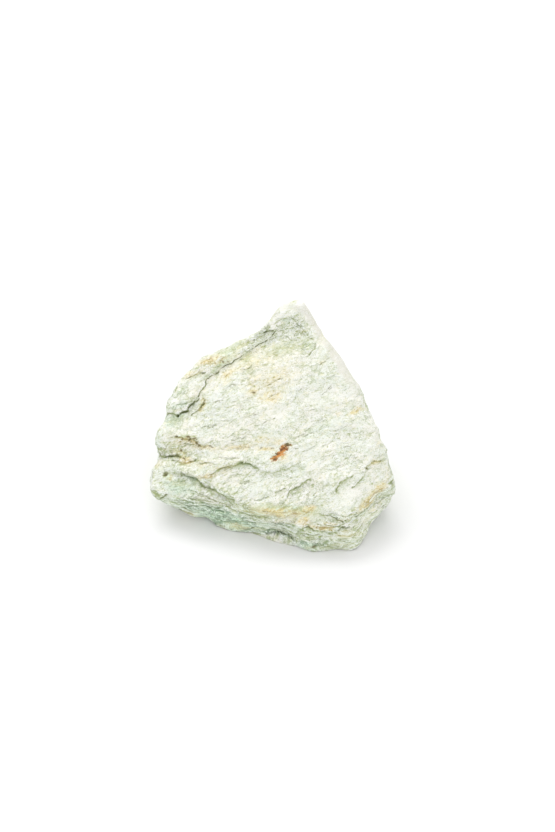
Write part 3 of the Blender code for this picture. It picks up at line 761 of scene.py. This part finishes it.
class Shader:
    """Short calls for building a material's nodes."""

    def __init__(self, name):
        self.material = bpy.data.materials.new(name)
        self.material.use_nodes = True
        self.tree = self.material.node_tree
        self.surface = self.tree.nodes["Principled BSDF"]

    def node(self, kind, inputs, **settings):
        """A node with its settings made, and a value or a link on each of the inputs given."""
        made = self.tree.nodes.new(kind)
        for key, value in settings.items():
            setattr(made, key, value)
        for key, value in inputs.items():
            if isinstance(value, bpy.types.NodeSocket):
                self.tree.links.new(value, made.inputs[key])
            else:
                made.inputs[key].default_value = value
        return made

    def attribute(self, name):
        return self.node("ShaderNodeAttribute", {}, attribute_name=name).outputs["Fac"]

    def math(self, operation, first, second=0.0):
        return self.node("ShaderNodeMath", {0: first, 1: second}, operation=operation).outputs[0]

    def times(self, first, second):
        return self.math("MULTIPLY", first, second)

    def noise(self, vector, scale, detail, roughness=0.55):
        inputs = {"Vector": vector, "Scale": scale, "Detail": detail, "Roughness": roughness}
        return self.node("ShaderNodeTexNoise", inputs).outputs["Fac"]

    def ramp(self, value, low, high, start=0.0, end=1.0):
        inputs = {"Value": value, "From Min": low, "From Max": high, "To Min": start, "To Max": end}
        return self.node("ShaderNodeMapRange", inputs, interpolation_type="SMOOTHSTEP").outputs["Result"]

    def mix(self, share, first, second):
        return self.node("ShaderNodeMix", {0: share, 6: first, 7: second}, data_type="RGBA").outputs[2]

    def either(self, chosen, first, second):
        return self.node("ShaderNodeMix", {0: chosen, 4: first, 5: second}, data_type="VECTOR").outputs[1]

    def bend(self, places, scale, reach):
        """Places pushed about, so that straight streaks turn."""
        push = self.node("ShaderNodeTexNoise", {"Vector": places, "Scale": scale, "Detail": 1.0})
        inputs = {0: push.outputs["Color"], 1: (reach, reach, reach), 2: places}
        return self.node("ShaderNodeVectorMath", inputs, operation="MULTIPLY_ADD").outputs[0]

    def jitter(self, value, texture, amount):
        """A value made ragged by a texture that is about 0.5."""
        return self.math("ADD", value, self.times(self.math("SUBTRACT", texture, 0.5), amount))

    def stretched(self, places, axes, lengths, shift=0.0):
        """Places measured along three axes, so that what is drawn there is longer by a factor on each."""
        turn = Matrix(axes).transposed().to_euler()
        inputs = {"Vector": places, "Location": (shift, shift, shift), "Rotation": turn, "Scale": lengths}
        return self.node("ShaderNodeMapping", inputs, vector_type="TEXTURE").outputs[0]

    def flakes(self, places, scale):
        """A random value for each of many small flakes, and the lines along their edges."""
        inputs = {"Vector": places, "Scale": scale}
        inside = self.node("ShaderNodeTexVoronoi", inputs)
        around = self.node("ShaderNodeTexVoronoi", inputs, feature="DISTANCE_TO_EDGE")
        split = self.node("ShaderNodeSeparateColor", {0: inside.outputs["Color"]})
        return split.outputs[0], self.ramp(around.outputs["Distance"], 0.12, 0.02)

    def edges(self, places, scale, width):
        """Broken thin lines, the height on their proud side, and a painted highlight along that side's rim.
        """
        wave = self.math("SUBTRACT", self.noise(places, scale, 2.0), 0.5)
        patch = self.ramp(self.noise(places, 0.55 * scale, 1.0), 0.52, 0.64)
        line = self.times(self.ramp(self.math("ABSOLUTE", wave), width, 0.25 * width), patch)
        height = self.times(self.ramp(wave, -width, width, -0.5, 0.5), patch)
        rim = self.ramp(self.math("ABSOLUTE", self.math("SUBTRACT", wave, 1.6 * width)), width, 0.3 * width)
        return line, height, self.times(rim, patch)


MINT = (0.75, 0.785, 0.715, 1.0)
CREAM = (0.82, 0.80, 0.73, 1.0)
WHITE = (0.88, 0.89, 0.88, 1.0)
MINT_SHADE = (0.60, 0.66, 0.56, 1.0)
PALE_GREEN = (0.74, 0.86, 0.73, 1.0)
LEAF_GREEN = (0.52, 0.71, 0.53, 1.0)
YELLOW_FLECK = (0.83, 0.78, 0.52, 1.0)
OLIVE_DIRT_AND_SHADE = (0.43, 0.46, 0.25, 1.0)
OCHRE_STAIN = (0.77, 0.66, 0.31, 1.0)
STAIN_AND_SHADE_TINT = (0.72, 0.70, 0.42, 1.0)
BROWN_SPOT_AND_PIT_SHADE = (0.19, 0.155, 0.065, 1.0)
RUST_LIGHT = (0.57, 0.25, 0.06, 1.0)
RUST_DARK = (0.20, 0.075, 0.02, 1.0)
RUST_SPECK = (0.42, 0.28, 0.09, 1.0)
OLIVE_GAP = (0.32, 0.39, 0.15, 1.0)
GREEN_GAP = (0.16, 0.26, 0.145, 1.0)
BROWN_GAP = (0.42, 0.34, 0.10, 1.0)
CLEFT_SHADE = (0.10, 0.12, 0.03, 1.0)
ROSE_CREAM = (0.85, 0.84, 0.79, 1.0)
STRIP_ROSE = (0.67, 0.655, 0.59, 1.0)

# The size of each texture of the material, as how many go to a metre.
LIVELINESS = 95.0
CLOUD = 150.0
BEND = 260.0
FLAKING = 420.0
ROSE = 520.0
LARGE_FLAKE = 700.0
FINE_EDGE = 800.0
STREAK = 1000.0
FLECK = 1500.0
THIN_EDGE = 1700.0
SMALL_FLAKE = 1800.0
TEAR = 1900.0
SPECK = 2600.0
DUST = 4600.0

BUMP_HEIGHT = 0.20 * MM
BEND_REACH = 1.8 * MM
TEAR_REACH = 0.7 * MM

# How many times longer the grain is on each axis, where layers lean and where they are level.
LEANING_GRAIN = (1.8, 1.0, 1.4)
LEVEL_GRAIN = (4.0, 4.0, 1.0)


class Schist(Shader):
    """The stone's material: its grain, and then one colour laid over another."""

    def __init__(self):
        super().__init__("fuchsite_schist")
        self.mark = {name: self.attribute(name) for name in MARKS}
        self.find_grain()
        self.broken = self.math("MAXIMUM", self.mark["steep"], self.mark["rough"])
        calm = self.ramp(self.mark["smooth"], 0.0, 1.0, 1.0, 0.35)
        lively = self.times(calm, self.ramp(self.broken, 0.0, 0.8, 0.8, 1.4))
        patches = self.noise(self.places, LIVELINESS, 2.0)
        self.lively = self.times(lively, self.ramp(patches, 0.40, 0.60, 0.85, 1.15))
        self.lay_mica()
        self.darken_gaps()
        self.stain()
        roughness = self.ramp(self.speck, 0.3, 0.7, 0.42, 0.75)
        self.tree.links.new(self.base, self.surface.inputs["Base Color"])
        self.tree.links.new(roughness, self.surface.inputs["Roughness"])
        self.raise_grain()

    def coat(self, colour, value, start, full, most=1.0, where=None):
        """Lays a colour over the base, from none where a value is at its start to most where it is full."""
        share = self.ramp(value, start, full, 0.0, most)
        if where is not None:
            share = self.times(share, where)
        self.base = self.mix(share, self.base, colour)

    def find_grain(self):
        """Streaks, specks, flakes and edges, drawn out along the layers: leaning or level ones."""
        self.places = self.node("ShaderNodeTexCoord", {}).outputs["Object"]
        self.cloud = self.noise(self.places, CLOUD, 4.0)
        bent = self.bend(self.places, BEND, BEND_REACH)
        leaning = self.stretched(bent, LAYER_AXES, LEANING_GRAIN)
        level = self.stretched(bent, np.eye(3), LEVEL_GRAIN, 0.3)
        on_side = self.math("GREATER_THAN", self.jitter(self.mark["steep"], self.cloud, 0.6), 0.4)
        self.along = self.either(on_side, leaning, level)
        self.streak = self.noise(self.along, STREAK, 4.0, 0.65)
        self.speck = self.noise(self.along, SPECK, 2.0, 0.6)
        self.dust = self.noise(self.places, DUST, 1.0, 0.5)
        torn = self.bend(self.along, TEAR, TEAR_REACH)
        self.large_flake, self.large_edge = self.flakes(torn, LARGE_FLAKE)
        self.small_flake, self.small_edge = self.flakes(torn, SMALL_FLAKE)
        self.fine_line, self.fine_step, self.fine_rim_highlight = self.edges(self.along, FINE_EDGE, 0.022)
        self.thin_line, self.thin_step, self.thin_rim_highlight = self.edges(self.along, THIN_EDGE, 0.030)

    def lay_mica(self):
        """Mint, cream and white mica, greener on the sides, with dirt and iron in its surface, and painted
        shade below ledges and along the lower rim.
        """
        mark, streak, speck = self.mark, self.streak, self.speck
        self.base = MINT
        self.coat(CREAM, self.jitter(self.cloud, speck, 0.2), 0.40, 0.60)
        self.coat(WHITE, self.jitter(streak, self.cloud, -0.2), 0.46, 0.60, 0.5)
        self.coat(YELLOW_FLECK, self.noise(self.along, FLECK, 2.0), 0.56, 0.66, 0.4)
        self.coat(ROSE_CREAM, self.noise(self.places, ROSE, 3.0), 0.52, 0.64, 0.4)
        self.coat(ROSE_CREAM, self.jitter(mark["smooth"], streak, 0.8), 0.1, 0.9, 0.7)
        self.coat(STRIP_ROSE, self.jitter(mark["strip"], streak, 0.8), 0.1, 0.9, 0.9)
        self.coat(MINT_SHADE, self.jitter(mark["steep"], streak, 0.8), 0.2, 1.0, 0.35)
        # Green of the fuchsite, and painted shade below ledges and along the lower rim.
        self.coat(LEAF_GREEN, self.jitter(mark["green"], streak, 1.0), 0.1, 1.0, 0.9)
        # Olive dirt, and painted shade below ledges and along the lower rim.
        self.coat(OLIVE_DIRT_AND_SHADE, self.jitter(mark["olive"], streak, 1.8), 0.1, 0.9, 0.95)
        iron = self.jitter(self.jitter(mark["ochre"], streak, -1.2), speck, -1.2)
        self.coat(OCHRE_STAIN, iron, 0.05, 1.1, 0.9)
        greenest = self.math("MAXIMUM", mark["green"], mark["olive"])
        greenest = self.math("MAXIMUM", greenest, self.times(mark["steep"], 0.6))
        self.flake_and_highlight = self.mix(self.ramp(greenest, 0.3, 0.9), WHITE, PALE_GREEN)
        for flake in (self.large_flake, self.small_flake):
            self.coat(self.flake_and_highlight, flake, 0.5, 1.0, 0.25, where=self.lively)
            self.coat(MINT_SHADE, flake, 0.45, 0.0, 0.25, where=self.lively)

    def darken_gaps(self):
        """Painted shade where the surface lies lower than around it: yellower, then dark where the gap is
        deep; a painted highlight on the crests; painted shade below steps, in fine cracks and along flake
        edges, with a painted highlight on the cracks' proud rims; and dark and white specks.
        """
        mark, streak, speck, lively = self.mark, self.streak, self.speck, self.lively
        # The colour of painted shade in hollows, below steps, in fine cracks and along flake edges, and of
        # dark specks.
        gap = self.mix(self.ramp(mark["green"], 0.2, 0.7), OLIVE_GAP, GREEN_GAP)
        gap = self.mix(self.ramp(mark["ochre"], 0.2, 0.7), gap, BROWN_GAP)
        # Painted shade in the hollows, yellower and then dark, and a painted highlight on the crests.
        self.coat(STAIN_AND_SHADE_TINT, self.jitter(mark["hollow"], streak, 0.12), 0.0, 0.07, 0.35)
        self.coat(self.flake_and_highlight, self.jitter(mark["hollow"], speck, -0.10), -0.02, -0.09, 0.75)
        self.coat(gap, self.jitter(mark["hollow"], speck, -0.14), 0.04, 0.11, 0.75)
        # Painted shade below the steps.
        self.coat(gap, self.jitter(mark["foot"], speck, -0.6), 0.0, 0.8, 0.8)
        # Fine cracks, dark as painted shade, with a painted highlight on their proud rims.
        lined = self.times(self.math("ADD", self.times(self.broken, 0.35), 0.6), lively)
        for line, rim in ((self.fine_line, self.fine_rim_highlight), (self.thin_line, self.thin_rim_highlight)):
            self.base = self.mix(self.times(line, lined), self.base, gap)
            self.base = self.mix(self.times(rim, 0.6), self.base, self.flake_and_highlight)
        self.coat(gap, speck, 0.43, 0.28, 0.7, where=lively)
        # Painted shade along the edges of the flakes.
        flaking = self.ramp(self.noise(self.places, FLAKING, 2.0), 0.48, 0.60)
        for edge, most in ((self.large_edge, 0.45), (self.small_edge, 0.25)):
            shown = self.times(self.times(edge, flaking), most)
            self.base = self.mix(self.times(shown, lively), self.base, gap)
        self.coat(gap, self.dust, 0.44, 0.28, 0.7, where=lively)
        self.coat(WHITE, self.dust, 0.58, 0.70, 0.5)

    def stain(self):
        """Rusty specks in the ochre, the rust spot with its halo, brown spots with painted shade in the
        pits, and painted shade in the cracks.
        """
        mark, streak, speck = self.mark, self.streak, self.speck
        rusty = self.ramp(self.jitter(speck, streak, 0.5), 0.45, 0.36)
        self.coat(RUST_SPECK, mark["ochre"], 0.5, 1.0, 0.45, where=rusty)
        rust = self.jitter(self.jitter(mark["rust"], speck, 1.0), self.dust, 0.8)
        self.coat(STAIN_AND_SHADE_TINT, rust, 0.05, 0.5, 0.5)
        self.coat(self.mix(self.ramp(streak, 0.46, 0.58), RUST_LIGHT, RUST_DARK), rust, 0.3, 0.55)
        # Brown spots, and painted shade in the pits.
        self.coat(BROWN_SPOT_AND_PIT_SHADE, self.jitter(mark["spot"], speck, 1.2), 0.2, 0.7)
        # Painted shade in the clefts and cracks.
        self.coat(CLEFT_SHADE, self.jitter(mark["crack"], speck, -0.5), 0.1, 0.9, 0.9)

    def raise_grain(self):
        """The grain that is finer than the mesh, as bump."""
        height = self.streak
        for texture, share in (
            (self.speck, 0.8), (self.dust, 0.4), (self.fine_step, 0.5), (self.thin_step, 0.4),
            (self.large_flake, 0.55), (self.small_flake, 0.35),
        ):
            height = self.math("ADD", height, self.times(texture, share))
        inputs = {"Strength": 1.0, "Distance": BUMP_HEIGHT, "Height": self.times(height, self.lively)}
        bump = self.node("ShaderNodeBump", inputs)
        self.tree.links.new(bump.outputs["Normal"], self.surface.inputs["Normal"])


def stone():
    piece = fine_copy(stone_node, "stone")
    refine_along_routes(piece)
    carve(piece)
    cut_base(piece)
    piece.data.materials.clear()
    piece.data.materials.append(Schist().material)
    piece.data.shade_smooth()
    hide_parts("fuchsite_stone")
    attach(piece, "root")


FLOOR_SIZE = 6.0
FLOOR_COLOUR = (0.80, 0.80, 0.80, 1.0)
FLOOR_ROUGHNESS = 0.9
SKY_STRENGTH = 0.95
SOFTBOX_SIZE = (0.8, 0.4)
SOFTBOX_POWER = 3.7
SOFTBOX_PLACE = (-0.16, 0.50, 0.58)
FILL_SIZE = (0.6, 0.4)
FILL_POWER = 1.05
FILL_PLACE = (0.15, -0.6, 0.3)


def floor():
    bpy.ops.mesh.primitive_plane_add(size=FLOOR_SIZE)
    plane = bpy.context.object
    plane.name = "floor"
    material = bpy.data.materials.new("white_paper")
    material.use_nodes = True
    surface = material.node_tree.nodes["Principled BSDF"]
    surface.inputs["Base Color"].default_value = FLOOR_COLOUR
    surface.inputs["Roughness"].default_value = FLOOR_ROUGHNESS
    plane.data.materials.append(material)


def lights():
    world = bpy.data.worlds.new("studio")
    bpy.context.scene.world = world
    world.use_nodes = True
    sky = world.node_tree.nodes["Background"]
    sky.inputs["Color"].default_value = (1.0, 1.0, 1.0, 1.0)
    sky.inputs["Strength"].default_value = SKY_STRENGTH
    for name, size, power, place in (
        ("softbox", SOFTBOX_SIZE, SOFTBOX_POWER, SOFTBOX_PLACE),
        ("fill", FILL_SIZE, FILL_POWER, FILL_PLACE),
    ):
        data = bpy.data.lights.new(name, "AREA")
        data.shape = "RECTANGLE"
        data.size, data.size_y = size
        data.energy = power
        lamp = bpy.data.objects.new(name, data)
        bpy.context.scene.collection.objects.link(lamp)
        lamp.location = place
        lamp.rotation_euler = (-Vector(place)).to_track_quat("-Z", "Y").to_euler()


def camera():
    data = bpy.data.cameras.new("camera")
    data.sensor_width = SENSOR
    data.lens = SENSOR * CAMERA_DISTANCE / (PHOTO_HEIGHT * PIXEL)
    data.clip_end = CAMERA_REACH
    eye = bpy.data.objects.new("camera", data)
    bpy.context.scene.collection.objects.link(eye)
    eye.location = EYE
    eye.rotation_euler = (math.pi / 2 - CAMERA_ELEVATION, 0.0, 0.0)
    bpy.context.scene.camera = eye


stone()
floor()
lights()
camera()
bpy.context.scene.view_settings.view_transform = "Standard"
